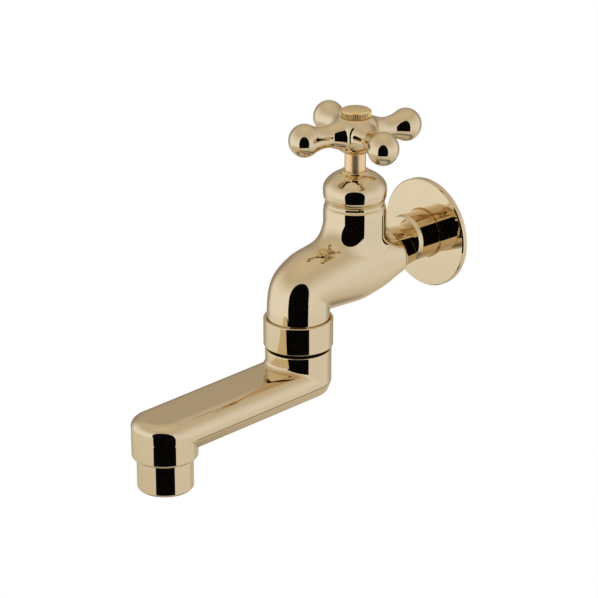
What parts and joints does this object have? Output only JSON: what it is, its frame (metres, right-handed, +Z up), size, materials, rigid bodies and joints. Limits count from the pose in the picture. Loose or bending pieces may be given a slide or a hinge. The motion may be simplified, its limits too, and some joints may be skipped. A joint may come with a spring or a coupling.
{
  "type": "garden tap",
  "caption": "Wall tap with a cross handle on a domed bonnet, a round wall flange and a flat-topped spout that swings sideways to a short nozzle.",
  "frame": {"origin": "middle of the inlet thread in the wall's plane", "axes": "+Z up along the spindle, +Y into the wall along the inlet thread, -Y out toward the spout, X sideways"},
  "size_m": [0.061, 0.1842, 0.1387],
  "materials": {
    "polished_brass": "polished, pale gold",
    "knurled_gold": "knurled rim, satin top, deep gold",
    "stem_brass": "turned, orange gold",
    "raw_brass": "machined",
    "black_rubber": "matte",
    "white_packing": "waxy",
    "red_fibre": "matte",
    "grey_plastic": "matte",
    "steel": "bright"
  },
  "bodies": {
    "tap": {"tap_body": "polished_brass", "wall_flange": "polished_brass", "flange_gasket": "black_rubber", "packing_washer": "raw_brass", "gland_packing": "white_packing", "bonnet_gasket": "red_fibre", "bonnet_nut": "polished_brass", "swivel_nut": "polished_brass", "swivel_packing": "black_rubber", "swivel_washer": "raw_brass"},
    "valve": {"valve_jumper": "raw_brass", "valve_washer": "black_rubber", "valve_nut": "raw_brass"},
    "handle": {"spindle": "stem_brass", "cross_handle": "polished_brass", "spring_washer": "steel", "handle_screw": "steel", "handle_cap": "knurled_gold"},
    "spout": {"retaining_ring": "raw_brass", "spout_arm": "polished_brass", "outlet_gasket": "black_rubber", "outlet_nozzle": "polished_brass", "outlet_screen": "steel", "flow_straightener": "grey_plastic", "outlet_ring": "raw_brass"}
  },
  "joints": [
    {"name": "valve_lift", "type": "slide", "parent": "tap", "child": "valve", "axis": [0, 0, 1], "range_m": [0, 0.00375]},
    {"name": "handle_turn", "type": "hinge", "parent": "valve", "child": "handle", "pos_m": [0, -0.0446, 0.05], "axis": [0, 0, 1], "range_deg": [0, 540]},
    {"name": "spout_swivel", "type": "hinge", "parent": "tap", "child": "spout", "pos_m": [0, -0.0773, -0.04], "axis": [0, 0, 1], "range_deg": [-139.06, 130.94]}
  ],
  "couplings": [
    {"joint": "valve_lift", "follows": "handle_turn", "m_per_rad": 0.00039789}
  ]
}
